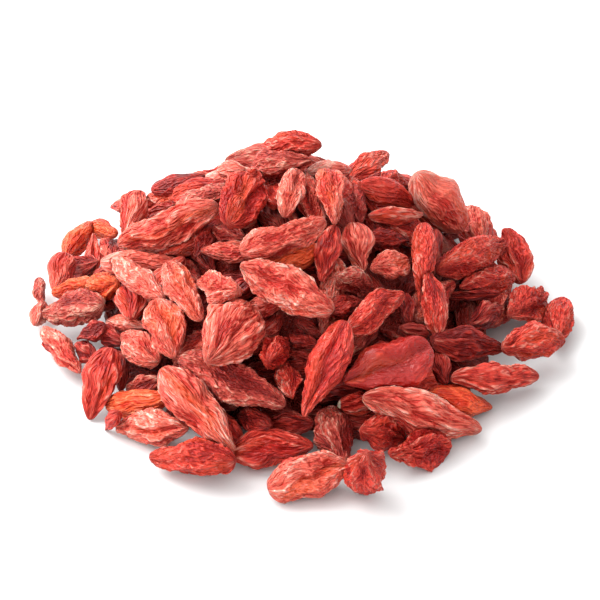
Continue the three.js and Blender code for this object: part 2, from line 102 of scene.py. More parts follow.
# %% The berries that the photograph shows
# Each row: [stem end x, y, tip x, y, width] in the photograph's pixels, then how many millimetres the berry
# lies in front of the heap's skin, and two letters: its tone (red, pale with bloom, dark, orange or brown)
# and how its skin has dried. A w at the end gives it the pale stem scar that shows in the photograph.
FACE = [
    # Left edge, from the table up
    [37, 277, 38, 304, 15, 1, "bn"], [49, 279, 50, 304, 14, -2, "dn"], [29, 328, 38, 304, 20, 0, "pn"],
    [42, 331, 79, 376, 24, 0.5, "pn"], [42, 345, 60, 353, 12, 0, "rn"], [42, 318, 102, 309, 38, 0, "bn"],
    [53, 293, 93, 281, 23, 1, "on"], [68, 255, 55, 293, 27, 1, "ps"], [84, 223, 59, 258, 24, 0, "os"],
    [66, 270, 98, 262, 24, -3, "df"], [90, 234, 86, 277, 16, -1, "pk"], [116, 228, 84, 220, 20, -1, "os"],
    [104, 324, 74, 338, 19, 1, "dc"], [96, 330, 122, 341, 22, -1, "df"], [74, 353, 97, 372, 22, -1, "df"],
    [114, 350, 94, 422, 37, 0, "rf"], [122, 352, 119, 392, 15, -1, "df"],
    # Back left
    [102, 206, 128, 203, 19, -1, "rf"], [138, 190, 122, 236, 30, 1, "pf"],
    [146, 197, 176, 196, 14, -1, "pn"], [150, 189, 204, 174, 21, 0, "ds"],
    [171, 198, 224, 180, 24, 1, "rf"], [217, 207, 118, 246, 42, 3, "pf"],
    [217, 169, 245, 168, 15, -1, "ps"], [258, 171, 229, 224, 44, 2.5, "rn"],
    [212, 229, 245, 238, 22, -1, "bn"], [215, 225, 194, 257, 18, -3, "dn"],
    # Left middle
    [121, 280, 90, 292, 32, 1, "on"], [132, 277, 131, 319, 31, 0, "rf"],
    [99, 262, 200, 266, 24, 0.5, "ps"], [112, 264, 163, 303, 27, 1.5, "pn"],
    [165, 263, 199, 321, 33, 2, "pn"], [185, 279, 200, 300, 15, -1, "pn"],
    [237, 291, 199, 284, 38, 1, "pc"], [255, 281, 224, 302, 21, -1, "df"],
    [200, 250, 252, 252, 21, 0, "pn"], [208, 319, 240, 306, 20, -2, "df"],
    [105, 323, 146, 326, 17, -1, "ps"], [120, 336, 158, 362, 33, 1, "pn"],
    [155, 301, 174, 360, 38, 1.5, "pn"], [250, 312, 207, 364, 52, 2, "pf"],
    # Front left
    [126, 391, 162, 380, 22, -1, "bn"], [103, 408, 170, 400, 29, 0, "of"],
    [118, 414, 108, 436, 14, -1, "rf"], [117, 429, 187, 425, 34, 0.5, "pn"],
    [160, 371, 231, 454, 41, 2.5, "pf"], [154, 463, 233, 462, 44, 0, "rn"],
    [178, 357, 286, 406, 45, 3.5, "bn"],
    # Front
    [233, 460, 316, 450, 36, 0, "rf"], [262, 424, 314, 423, 24, -1, "df"],
    [276, 501, 346, 480, 44, 0, "pn"], [328, 409, 343, 467, 40, 0, "bn"],
    [368, 456, 363, 502, 42, 0, "rn"], [404, 438, 361, 428, 34, 0, "rn"],
    [444, 451, 388, 458, 38, 0, "rc"], [360, 397, 480, 430, 42, 2.5, "pf"],
    [337, 407, 381, 402, 23, 0, "rfw"],
    # Centre
    [345, 322, 304, 417, 37, 3, "rk"], [345, 329, 403, 291, 36, 3, "rn"],
    [430, 348, 344, 384, 50, 2, "rg"], [285, 342, 267, 363, 32, 0, "rn"],
    [283, 361, 292, 398, 29, 0, "rc"], [288, 336, 318, 346, 20, -2, "dn"],
    [241, 264, 333, 312, 46, 3, "pn"], [246, 308, 286, 303, 23, 0, "pn"],
    [330, 312, 366, 303, 24, 0, "dn"], [318, 246, 263, 267, 32, 0.5, "os"],
    [334, 226, 322, 283, 24, 1.5, "rf"], [353, 224, 364, 273, 28, 1, "pf"],
    [336, 275, 372, 287, 29, 0, "bc"], [408, 261, 369, 269, 27, 1.5, "pn"],
    [398, 328, 430, 335, 18, 0, "bf"], [406, 293, 410, 324, 18, -1, "dn"],
    [424, 222, 420, 302, 27, 2.5, "rn"], [427, 269, 439, 335, 28, 3, "rn"],
    # Top
    [261, 150, 320, 147, 36, 0, "rn"], [251, 170, 313, 160, 36, 2, "bn"],
    [298, 169, 284, 216, 29, 1, "pn"], [240, 252, 326, 220, 38, 3.5, "pn"],
    [331, 172, 335, 224, 34, 1.5, "pn"], [308, 171, 352, 168, 18, -1, "ps"],
    [348, 175, 386, 147, 27, 1, "rf"], [371, 177, 408, 184, 26, 0, "bn"],
    [382, 183, 395, 172, 20, -1, "rn"], [359, 185, 417, 203, 24, 1, "rs"],
    [424, 214, 369, 216, 20, 1.5, "rf"], [356, 184, 360, 224, 20, -2, "dn"],
    [368, 239, 411, 240, 24, 0, "dn"],
    # Back right
    [421, 173, 466, 230, 48, 2, "ps"], [472, 207, 483, 247, 31, 1, "pn"],
    [440, 176, 475, 190, 22, -1, "ds"], [414, 205, 447, 226, 16, 0, "rf"],
    [436, 229, 434, 276, 17, -2, "df"], [505, 242, 438, 270, 38, 2, "rn"],
    [506, 228, 523, 283, 35, 0, "rn"], [514, 274, 461, 287, 27, 1, "rn"],
    [443, 296, 500, 292, 14, -2, "df"],
    # Right edge
    [545, 295, 511, 316, 43, 0, "rc"], [560, 299, 556, 346, 32, 0, "rn"],
    [501, 347, 565, 340, 39, 1, "rn"], [503, 308, 470, 325, 26, 0, "df"],
    [432, 341, 508, 350, 32, 0, "df"], [450, 380, 539, 375, 32, 0, "rf"],
    [428, 392, 492, 405, 33, 0, "os"], [436, 356, 448, 388, 22, -1, "df"],
    # In the shade between the others
    [84, 301, 113, 306, 20, -2, "df"], [94, 284, 112, 266, 20, -3, "df"],
    [240, 414, 272, 426, 24, -2, "dn"],
]
print("berries read from the photograph:", len(FACE))


# %% Repeatable random numbers
def draws(seed):
    """An endless stream of numbers from 0 to 1 that is the same on each run."""
    modulus, step, spread, start = 2147483647, 16807, 7919, 104729
    state = (seed * spread + start) % modulus
    for _ in range(2):
        state = state * step % modulus
    while True:
        state = state * step % modulus
        yield state / modulus


def between(draw, low, high):
    return low + (high - low) * next(draw)


print("the first number from seed 1 is", round(next(draws(1)), 4))


# %% The heap's skin, on which the middles of the outer berries lie
def distance_out(x, y):
    return np.hypot(x - HEAP_MIDDLE[0], y - HEAP_MIDDLE[1])


def skin_height(x, y):
    share = np.minimum(1, distance_out(x, y) / HEAP_RADIUS)
    return SKIN_AT_RIM + HEAP_RISE * (1 - share**HEAP_ROUNDNESS)


def skin_normal(x, y):
    step = 0.5
    slope_x = skin_height(x + step, y) - skin_height(x - step, y)
    slope_y = skin_height(x, y + step) - skin_height(x, y - step)
    normal = np.array([-slope_x, -slope_y, 2 * step])
    return normal / np.linalg.norm(normal)


def core_height(x, y):
    height = np.maximum(CORE_FOOT, skin_height(x, y) - CORE_DEPTH)
    return np.where(distance_out(x, y) > CORE_RADIUS, 0, height)


print("the top of the skin is", skin_height(*HEAP_MIDDLE), "mm up")

# %% [markdown]
# ## From a pixel to a place on the heap
#
# A pixel only fixes a line of sight. The depth along it comes from the heap's shape: the berry lies where
# the line meets the skin. Lines that just skim the heap take the place where they come nearest to it, and
# lines beside it meet the layer of berries on the table.

# %% Seen points and their depths
RIM_REACH = 7
SKIMS_HEAP = 4.5
NEAR_ENOUGH = 1
DEPTH_REACH, DEPTH_STEP = 75, 0.25
DEPTHS = np.arange(VIEW_DISTANCE - DEPTH_REACH, VIEW_DISTANCE + DEPTH_REACH, DEPTH_STEP)


def seen_at(u, v, depth):
    """The point at a pixel, at a depth along the view's axis."""
    depth = np.asarray(depth, float)[..., None]
    across = (u - VIEW_SIZE / 2) / focal_pixels * depth
    up = (VIEW_SIZE / 2 - v) / focal_pixels * depth
    return eye + forward * depth + rightward * across + upward * up


def skin_depth(u, v):
    points = seen_at(u, v, DEPTHS)
    out = distance_out(points[:, 0], points[:, 1])
    gap = points[:, 2] - skin_height(points[:, 0], points[:, 1])
    over_heap, over_rim = out < HEAP_RADIUS, out < HEAP_RADIUS + RIM_REACH
    skims = over_heap.any() and gap[over_heap].min() < SKIMS_HEAP
    places = over_heap if skims else over_rim
    least = max(-NEAR_ENOUGH, gap[places].min())
    return DEPTHS[places][np.argmax(gap[places] <= least + NEAR_ENOUGH)]


middle_depth = skin_depth(VIEW_SIZE / 2, VIEW_SIZE / 2)
print("in the middle of the picture, the skin lies at a depth of", middle_depth, "mm")


# %% A berry of the face, from its row
SHORTEST, LONGEST, LONGEST_MM = 1.85, 3.3, 22
TYPICAL_WIDTH = 6


def face_berry(row, number):
    stem_u, stem_v, tip_u, tip_v, pixels, lift, letters = row
    width = pixels * VIEW_DISTANCE / focal_pixels
    sunk = max(0, TYPICAL_WIDTH - width) / 2
    stem_depth, tip_depth = skin_depth(stem_u, stem_v), skin_depth(tip_u, tip_v)
    middle = (stem_depth + tip_depth) / 2 - lift + sunk
    lean = tip_depth - stem_depth
    seen = math.hypot(tip_u - stem_u, tip_v - stem_v) * middle / focal_pixels
    longest = max(seen, min(LONGEST * width, LONGEST_MM))
    length = max(SHORTEST * width, min(longest, math.hypot(seen, lean)))
    depth = math.sqrt(max(0, length**2 - seen**2)) * (-1 if lean < 0 else 1)
    return dict(
        stem=seen_at(stem_u, stem_v, middle - depth / 2), tip=seen_at(tip_u, tip_v, middle + depth / 2),
        facing=-forward, width=width, tone=letters[0], dried=letters[1], scar="w" in letters[2:],
        seed=number + 1, on_face=True, is_loose=False,
    )


def middle_of(berry):
    return (berry["stem"] + berry["tip"]) / 2


face = [face_berry(row, number) for number, row in enumerate(FACE)]
print("the longest berry is", round(max(np.linalg.norm(b["tip"] - b["stem"]) for b in face), 1), "mm")

# %% [markdown]
# ## The far side and the holes
#
# The photograph shows no far side, so its berries are laid in a sunflower spiral, which covers a disc
# evenly with no rows. Each takes its place only where no other berry lies, and turns the way that has the
# most room. The same rule then fills the holes between the outer berries with a second layer, as in a real
# heap.

# %% Berries on a sunflower spiral
GOLDEN_ANGLE = math.pi * (3 - math.sqrt(5))
SPIRAL_RADIUS = 40.5
HEADINGS = 6
MOST_TILT = 0.25
ROOM_AT = (0.15, 0.5, 0.85)
# Each letter is one chance in eight
SPIRAL_TONES, SPIRAL_SKINS = "rrrppbrd", "ffnnncks"


def spiral_place(place, places, depth):
    radius = SPIRAL_RADIUS * math.sqrt((place + 0.5) / places)
    angle = place * GOLDEN_ANGLE
    x = HEAP_MIDDLE[0] + radius * math.cos(angle)
    y = HEAP_MIDDLE[1] + radius * math.sin(angle)
    facing = skin_normal(x, y)
    return np.array([x, y, skin_height(x, y)]) - facing * depth, facing


def distances_to_axes(points, others):
    """Least distances from each point to each berry's axis."""
    stems = np.array([b["stem"] for b in others])
    axes = np.array([b["tip"] for b in others]) - stems
    apart = points[:, None] - stems
    share = np.clip((apart * axes).sum(-1) / (axes**2).sum(-1), 0, 1)
    return np.linalg.norm(apart - share[..., None] * axes, axis=-1)


def lying(middle, facing, heading, tilt, length):
    """The ends of a berry that lies along the skin."""
    along = np.array([math.cos(heading), math.sin(heading), 0])
    along -= facing * (along @ facing)
    along /= np.linalg.norm(along)
    along += facing * tilt
    along /= np.linalg.norm(along)
    return middle - along * length / 2, middle + along * length / 2


def is_covered(middle, others, spacing):
    return bool(others) and distances_to_axes(middle[None], others).min() < spacing


def spiral_berry(middle, facing, seed, widths, lengths, others):
    draw = draws(seed)
    width = between(draw, *widths)
    length = width * between(draw, *lengths)
    tilt = between(draw, -MOST_TILT, MOST_TILT)
    first = 2 * math.pi * next(draw)
    tone = SPIRAL_TONES[int(len(SPIRAL_TONES) * next(draw))]
    other_widths = np.array([b["width"] for b in others])
    most_room, best = -math.inf, None
    for turn in range(HEADINGS):
        stem, tip = lying(middle, facing, first + math.pi * turn / HEADINGS, tilt, length)
        stations = np.array([stem + (tip - stem) * share for share in ROOM_AT])
        room = (distances_to_axes(stations, others) / (width + other_widths)).min()
        if room > most_room:
            most_room, best = room, (stem, tip)
    return dict(
        stem=best[0], tip=best[1], facing=facing, width=width, tone=tone,
        dried=SPIRAL_SKINS[seed % len(SPIRAL_SKINS)], scar=False, seed=seed, room=most_room,
        on_face=False, is_loose=False,
    )


print("each place is turned by", round(math.degrees(GOLDEN_ANGLE), 1), "degrees from the one before")

# %% Which berries are loose
LOOSE_BERRIES = 58


def pick_loose(berries):
    """Marks the berries that are solids of their own: those clear of the core's foot, then the largest."""

    def rank(berry):
        size = berry["width"] * np.linalg.norm(berry["tip"] - berry["stem"])
        return distance_out(*middle_of(berry)[:2]) <= CORE_RADIUS - 1, -size

    for berry in sorted(berries, key=rank)[:LOOSE_BERRIES]:
        berry["is_loose"] = True


pick_loose(face)
print("loose berries:", sum(b["is_loose"] for b in face))

# %% Lay out the far side
FAR_PLACES, FAR_DEPTH, FAR_WIDTH, FAR_LENGTH, FAR_SPACING = 420, 1, (5.4, 7.6), (1.9, 2.9), 0.37
FAR_SEEDS = 1000

berries = list(face)
for place in range(FAR_PLACES):
    middle, facing = spiral_place(place, FAR_PLACES, FAR_DEPTH)
    berry = spiral_berry(middle, facing, FAR_SEEDS + place, FAR_WIDTH, FAR_LENGTH, berries)
    if berry["room"] > FAR_SPACING:
        berries.append(berry)
print("berries on the far side:", len(berries) - len(face))

# %% [markdown]
# ## Settling
#
# Places read from a picture are a little off in depth, so some berries run through each other. Each berry
# is stood for by five balls along its axis, and balls that overlap push their berries apart in small steps.
# A berry of the face is held firmly to its place in the picture, and gives way in depth.

# %% The balls of a berry
STATIONS = np.array([0.12, 0.31, 0.5, 0.69, 0.88])
BALL_SHARE = 0.9
GIRTH_SKEW, GIRTH_POWER = 0.85, 0.52


def girth(share):
    """How full a berry is along its length: blunt at the stem end, tapered at the tip."""
    return np.sin(np.pi * np.clip(share, 0, 1) ** GIRTH_SKEW) ** GIRTH_POWER


def radii_of(widths):
    return BALL_SHARE * np.asarray(widths)[..., None] * girth(STATIONS) / 2


def balls_of(stems, tips):
    return stems[..., None, :] + STATIONS[:, None] * (tips - stems)[..., None, :]


def own_balls(berry):
    return balls_of(berry["stem"], berry["tip"]), radii_of(berry["width"])


def lift_off_table(stems, tips, radii):
    """Raises the ends of berries whose balls are sunk into the table."""
    for station, share in enumerate(STATIONS):
        height = stems[..., 2] + share * (tips[..., 2] - stems[..., 2])
        sunk = np.maximum(0, radii[..., station] - height)
        stems[..., 2] += sunk * (1 - share)
        tips[..., 2] += sunk * share


print("balls of a typical berry:", np.round(radii_of(TYPICAL_WIDTH), 1), "mm in radius")

# %% Push the outer berries apart
SETTLE_ROUNDS, SETTLE_SHARE, PAIR_MARGIN = 120, 0.2, 2
PULL_ACROSS, PULL_ALONG = 0.12, 0.012


def close_pairs(stems, tips, lengths):
    middles = (stems + tips) / 2
    apart = np.linalg.norm(middles[:, None] - middles, axis=-1)
    reach = (lengths[:, None] + lengths) / 2 + PAIR_MARGIN
    return np.nonzero(np.triu(apart < reach, 1))


def pushes_on(stems, tips, radii, one, two):
    """How far each berry's two ends are pushed by the balls that overlap its own."""
    balls = balls_of(stems, tips)
    away = balls[one][:, :, None] - balls[two][:, None]
    distance = np.linalg.norm(away, axis=-1)
    overlap = radii[one][:, :, None] + radii[two][:, None] - distance
    away *= (SETTLE_SHARE * np.maximum(0, overlap) / np.maximum(distance, 1e-9))[..., None]
    ends = np.stack([1 - STATIONS, STATIONS])
    pushes = np.zeros((len(stems), 2, 3))
    np.add.at(pushes, one, np.einsum("ea,pabx->pex", ends, away))
    np.add.at(pushes, two, -np.einsum("eb,pabx->pex", ends, away))
    return pushes


def settle(berries):
    stems = np.array([b["stem"] for b in berries])
    tips = np.array([b["tip"] for b in berries])
    facing = np.array([b["facing"] for b in berries])
    radii = radii_of([b["width"] for b in berries])
    lengths = np.linalg.norm(tips - stems, axis=1)
    home = stems.copy(), tips.copy()
    one, two = close_pairs(stems, tips, lengths)
    lift_off_table(stems, tips, radii)
    for _ in range(SETTLE_ROUNDS):
        pushes = pushes_on(stems, tips, radii, one, two)
        for end, ends in enumerate((stems, tips)):
            back = home[end] - ends
            along = facing * (back * facing).sum(1)[:, None]
            ends += pushes[:, end]
            ends += (back - along) * PULL_ACROSS + along * PULL_ALONG
        middles, axes = (stems + tips) / 2, tips - stems
        half = axes / np.linalg.norm(axes, axis=1)[:, None] * lengths[:, None] / 2
        stems[:], tips[:] = middles - half, middles + half
        lift_off_table(stems, tips, radii)
    for berry, stem, tip in zip(berries, stems, tips):
        berry["stem"], berry["tip"] = stem, tip


settle(berries)
print("settled", len(berries), "outer berries")

# %% Fill the holes with a second layer
SECOND_PLACES, SECOND_DEPTH, SECOND_WIDTH, SECOND_LENGTH = 520, 3.6, (4.8, 6.4), (2.0, 2.7)
SECOND_SEEDS, COVERED_BY_OUTER, COVERED_BY_SECOND = 3000, 4.3, 4.9


def second_layer(outer):
    second = []
    for place in range(SECOND_PLACES):
        middle, facing = spiral_place(place, SECOND_PLACES, SECOND_DEPTH)
        if is_covered(middle, outer, COVERED_BY_OUTER) or is_covered(middle, second, COVERED_BY_SECOND):
            continue
        seed, others = SECOND_SEEDS + place, outer + second
        berry = spiral_berry(middle, facing, seed, SECOND_WIDTH, SECOND_LENGTH, others)
        lift_off_table(berry["stem"], berry["tip"], radii_of(berry["width"]))
        second.append(berry)
    return second


second = second_layer(berries)
berries += second
print("berries in the second layer:", len(second))

# %% [markdown]
# ## Every berry is held by another
#
# After settling, a few berries would hang in the air. Berries of the bed sink until they are rooted in it,
# and loose berries move the shortest way until they lean on a neighbour. The solids follow the same rule.

# %% Hold every berry
HOLD_STEP, HOLD_STEPS, ROOTED_BY, LEANS_BY, ON_TABLE = 0.25, 40, 0.7, 0.3, 0.1


def reaches(berry, held_balls, held_radii, depth):
    balls, radii = own_balls(berry)
    if (balls[:, 2] - radii < core_height(balls[:, 0], balls[:, 1]) - depth).any():
        return True
    apart = np.linalg.norm(balls[:, None] - held_balls, axis=-1)
    return bool((apart < radii[:, None] + held_radii - depth).any())


def way_to(berry, held_balls, held_radii):
    """The shortest way to the others, along the table if the berry lies on it."""
    balls, radii = own_balls(berry)
    ways = held_balls - balls[:, None]
    gaps = np.linalg.norm(ways, axis=-1) - held_radii - radii[:, None]
    way = ways[np.unravel_index(np.argmin(gaps), gaps.shape)].copy()
    if (balls[:, 2] < radii + ON_TABLE).any():
        way[2] = 0
    return way / np.linalg.norm(way)


def move_until_held(berry, way, held, depth):
    for _ in range(HOLD_STEPS):
        if reaches(berry, *held, depth):
            break
        berry["stem"] = berry["stem"] + way * HOLD_STEP
        berry["tip"] = berry["tip"] + way * HOLD_STEP
        lift_off_table(berry["stem"], berry["tip"], radii_of(berry["width"]))


def over_core(berry):
    balls, radii = own_balls(berry)
    return (balls[:, 2] - radii - core_height(balls[:, 0], balls[:, 1])).min()


def hold(berries):
    held = np.zeros((0, 3)), np.zeros(0)
    rooted = sorted((b for b in berries if not b["is_loose"]), key=over_core)
    loose = sorted((b for b in berries if b["is_loose"]), key=lambda b: distance_out(*middle_of(b)[:2]))
    for berry in rooted + loose:
        if berry["is_loose"]:
            move_until_held(berry, way_to(berry, *held), held, LEANS_BY)
        else:
            move_until_held(berry, -berry["facing"], held, ROOTED_BY)
        held = tuple(np.concatenate(pair) for pair in zip(held, own_balls(berry)))


hold(berries)
print("berries that the solids show:", len(berries))

# %% Berries inside the heap
INNER_PLACES, INNER_DEPTH, INNER_WIDTH, INNER_LENGTH = 800, 6.6, (5.2, 6.6), (2.0, 2.6)
INNER_SEEDS, INNER_SPACING, INNER_LOWEST = 7000, 3.9, 1.5


def inner_layer():
    """A close layer under the others. It lies inside the solid bed, and keeps the gaps dark."""
    inner = []
    for place in range(INNER_PLACES):
        middle, facing = spiral_place(place, INNER_PLACES, INNER_DEPTH)
        if middle[2] < INNER_LOWEST or is_covered(middle, inner, INNER_SPACING):
            continue
        seed, others = INNER_SEEDS + place, inner or berries[:1]
        berry = spiral_berry(middle, facing, seed, INNER_WIDTH, INNER_LENGTH, others)
        lift_off_table(berry["stem"], berry["tip"], radii_of(berry["width"]))
        inner.append(berry)
    return inner


inner = inner_layer()
berries += inner
print("berries inside the heap:", len(inner))

# %% Name the loose berries as the solids are named
loose = sorted((b for b in berries if b["is_loose"]), key=lambda b: middle_of(b) @ forward)
worst = 0
for number, berry in enumerate(loose, 1):
    berry["node"] = f"berry_{number:02d}"
    low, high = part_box(berry["node"])
    off = np.array((low + high) / 2) * 1000 - middle_of(berry)
    worst = max(worst, float(np.linalg.norm(off)))
print("a solid's middle is at most", round(worst, 2), "mm from its berry's")

# %% [markdown]
# ## Noise on the skin
#
# Wrinkles, dents and folds all come from one smooth random field. It gives every corner of a grid of cubes
# a random slope and blends between the corners. A narrow band round its zeros makes thin raised lines,
# which meet and part like the ridges of shrunken skin.

# %% A smooth random field
TABLE_SIZE, TO_ONE = 4096, 1.6
rng = np.random.default_rng(11)
SLOPES = rng.normal(size=(TABLE_SIZE, 3))
SLOPES /= np.linalg.norm(SLOPES, axis=1)[:, None]
CORNERS = np.array([[x, y, z] for x in (0, 1) for y in (0, 1) for z in (0, 1)])


def pick(table, cell):
    """A row of the table for each cell. The large primes scatter cells that lie close together."""
    mixed = cell[..., 0] * 73856093 ^ cell[..., 1] * 19349663 ^ cell[..., 2] * 83492791
    return table[(mixed ^ mixed >> 13) % len(table)]


def noise(points):
    """Gradient noise, from about -1 to 1, with cells one unit wide."""
    cell = np.floor(points).astype(np.int64)
    inside = points - cell
    fade = inside**3 * (inside * (inside * 6 - 15) + 10)
    total = np.zeros(points.shape[:-1])
    for corner in CORNERS:
        weight = np.where(corner == 1, fade, 1 - fade).prod(-1)
        total += weight * (pick(SLOPES, cell + corner) * (inside - corner)).sum(-1)
    return total * TO_ONE


def ridged(points, sharpness=2.6):
    """Thin ridges at 1, with hollows down to 0 between them."""
    return np.clip(1 - sharpness * np.abs(noise(points)), 0, 1)


# %% Borders between scattered cells
SEEDS = rng.uniform(0.1, 0.9, (TABLE_SIZE, 3))


def rims(points, width=0.42):
    """1 on the borders between the cells round scattered seeds, and 0 in the middle of each cell."""
    cell = np.floor(points).astype(np.int64)
    nearest, second = np.full(points.shape[:-1], 9.0), np.full(points.shape[:-1], 9.0)
    for x, y, z in np.ndindex(3, 3, 3):
        at = cell + (x - 1, y - 1, z - 1)
        away = np.linalg.norm(at + pick(SEEDS, at) - points, axis=-1)
        second = np.minimum(second, np.maximum(nearest, away))
        nearest = np.minimum(nearest, away)
    return 1 - np.clip((second - nearest) / width, 0, 1) ** 0.75


sample = noise(rng.uniform(0, 50, (20000, 3)))
print("the noise runs from", round(sample.min(), 2), "to", round(sample.max(), 2))

# %% [markdown]
# ## How a berry shrivels
#
# A fresh berry is a smooth spindle. As it dries, the flesh shrinks more than the skin. The skin falls in
# between a few long folds, which stay up as ridges, and then creases finely all over. Some berries dry into
# long furrows, some into a net of creases, some crumple, a few stay plump and a few cave in to a cup. Each
# could be sculpted by hand. Here the skin is a radius that changes over a grid of points, so that one rule
# serves every berry and still shapes each in its own way.

# %% The ways a berry dries
# folds: how many long ridges there are. depth: how far the skin falls in between them, and dents: how deep
# its broad hollows are, both as shares of the radius.
# facet: how deep the skin sinks between its large creases, in millimetres. wide: how far apart they are.
# crease and groove: the same for the small creases and the grooves beside them. apart: how far apart these
# are. sway: how far all of them wander.
# stretch: how often creases come along the berry, as a share of how often they come across it. Where it is
# low, they make long furrows.
SKIN_COLUMNS = "folds depth dents facet wide crease groove apart sway stretch"
# Furrowed, netted, crumpled, smooth, cupped, and cupped with a gloss
SKIN_ROWS = {
    "f": [(4, 6), 0.26, 0.14, 0.26, 2.9, 0.06, 0.36, 1.10, 0.7, 0.20],
    "n": [(3, 4), 0.28, 0.20, 0.40, 3.1, 0.10, 0.24, 1.05, 1.1, 0.36],
    "c": [(3, 4), 0.40, 0.26, 0.52, 3.2, 0.12, 0.26, 1.15, 1.1, 0.50],
    "s": [(2, 4), 0.14, 0.12, 0.12, 3.6, 0.04, 0.10, 1.30, 0.6, 0.30],
    "k": [(1, 1), 0.85, 0.16, 0.34, 3.0, 0.12, 0.28, 1.15, 0.8, 0.26],
    "g": [(1, 1), 0.80, 0.08, 0.30, 3.2, 0.10, 0.18, 1.30, 1.0, 0.40],
}
SKINS = {kind: dict(zip(SKIN_COLUMNS.split(), row)) for kind, row in SKIN_ROWS.items()}
CUPPED = "kg"
# The gloss of a skin, and how much paler than its tone a berry of that tone and skin is
GLOSS = {"s": 0.3, "k": 0.35, "g": 1.0}
PALER = {"ps": 1.5, "rs": 0.6, "rg": -0.6}
print("ways to dry:", len(SKINS))


# %% The spindle under the skin
def shape_draws(berry):
    """The numbers that the solid of this berry was shaped by, in the order in which they are drawn."""
    draw = draws(berry["seed"])
    length = np.linalg.norm(berry["tip"] - berry["stem"])
    names = dict(
        flatness=(0.74, 0.94), roll=(-0.5, 0.5), bend=(-0.045 * length, 0.045 * length), two=(0.02, 0.1),
        three=(0.02, 0.1), two_phase=(0, 2 * math.pi), three_phase=(0, 2 * math.pi), twist=(-1, 1),
    )
    return {name: between(draw, low, high) for name, (low, high) in names.items()}


def axes_of(berry, roll):
    """The berry's own directions: along it, up out of the heap, and to its side."""
    along = berry["tip"] - berry["stem"]
    along = along / np.linalg.norm(along)
    up = berry["facing"] - along * (berry["facing"] @ along)
    up /= np.linalg.norm(up)
    up = up * math.cos(roll) + np.cross(along, up) * math.sin(roll)
    return along, up, np.cross(up, along)


def bow_at(share, shape):
    """How far the berry's bent axis lies above the straight line through its ends."""
    return shape["bend"] * (4 * share * (1 - share) - 0.6)


print("the first berry:", {name: round(x, 2) for name, x in shape_draws(berries[0]).items()})

# %% Long folds, or a cup
# Lists of three scales are across, across and along the berry.
BROAD, UNEVEN = [0.28, 0.28, 0.14], [0.2, 0.2, 0.09]
FOLD_TWIST, FOLD_WANDER, FOLD_EDGE, FOLD_UNEVEN = 1.4, 1.1, 1.1, 1.3
CUP_TURN, CUP_WANDER, CUP_WIDTH, CUP_RISE, CUP_UNEVEN = 0.3, 0.2, 0.3, 0.2, 0.4
USUAL_HOLLOW, LEAST_HOLLOW, MOST_HOLLOW, HOLLOW_ENDS = 0.8, 0.15, 1.5, 0.35


def cup(berry, around, broad, roll, choose):
    """One hollow face with a raised rim. On the face of the heap, the photograph looks into it."""
    _, up, side = axes_of(berry, roll)
    shown = -forward if berry["on_face"] else berry["facing"]
    middle = math.atan2(shown @ up, shown @ side) + choose.uniform(-CUP_TURN, CUP_TURN)
    from_middle = np.sin((around - middle) / 2 + CUP_WANDER * broad)
    return np.exp(-((from_middle / CUP_WIDTH) ** 2)) + CUP_RISE * np.abs(from_middle)


def fallen_in(berry, place, around, share, shape, choose):
    """1 where the skin has fallen in deepest, and 0 on the ridges that stay up."""
    broad = noise(place * BROAD)
    fewest, most = SKINS[berry["dried"]]["folds"]
    folds = int(choose.integers(fewest, most + 1))
    first = choose.uniform(0, 2 * math.pi)
    if berry["dried"] in CUPPED:
        unevenness, hollow = CUP_UNEVEN, cup(berry, around, broad, shape["roll"], choose)
    else:
        turn = around + first + shape["twist"] * share * FOLD_TWIST + FOLD_WANDER * broad
        unevenness, hollow = FOLD_UNEVEN, np.abs(np.sin(folds * turn / 2)) ** FOLD_EDGE
    change = USUAL_HOLLOW + unevenness * noise(place * UNEVEN)
    hollow = hollow * np.clip(change, LEAST_HOLLOW, MOST_HOLLOW)
    return hollow * np.sin(np.pi * np.clip(share, 0, 1)) ** HOLLOW_ENDS


# %% Creases, grooves and dents
# Each kind of mark reads the noise in a part of its own, which its shift names.
WANDER_SCALE, WANDER_SHIFTS = 0.45, (7.1, 31.7, 53.3)
CREASE_SHIFT, GROOVE_SHIFT, LINE_SHIFT, FINE_SHIFT, DENT_SHIFT = 5.7, 40.1, 23.3, 19.3, 80.1
DENT_SCALE, FINE_CLOSER, FINE_DEPTH = [0.33, 0.33, 0.22], 1.9, 0.08
FIELD_REACH, CREASE_EDGE, DENT_SHARPNESS = 500, 0.45, 1.6
PLAIN_END, LEAST_AT_END, DEEPEST = 0.06, 0.25, 1.15


